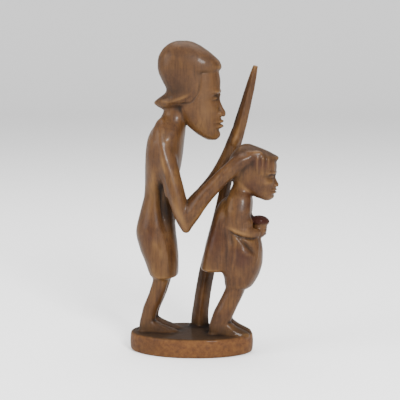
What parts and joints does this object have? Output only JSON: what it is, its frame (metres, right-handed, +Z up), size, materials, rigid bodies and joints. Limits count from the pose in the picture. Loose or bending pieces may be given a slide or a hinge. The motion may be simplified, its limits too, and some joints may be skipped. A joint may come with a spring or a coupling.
{
  "type": "carved wooden family statue",
  "caption": "Carved wooden family group on an oval base: a tall man with a long staff lays a hand on the head of a woman who holds a baby.",
  "frame": {"origin": "middle of the base's flat underside", "axes": "+Z up, +X the way both figures face, along the base's long way, +Y towards the side where the staff stands"},
  "size_m": [0.1345, 0.0749, 0.28],
  "materials": {
    "waxed_wood": "hand-carved reddish brown wood with a satin wax polish, darker in the hollows"
  },
  "bodies": {
    "root": {"carved_family_group": "waxed_wood"}
  },
  "joints": []
}
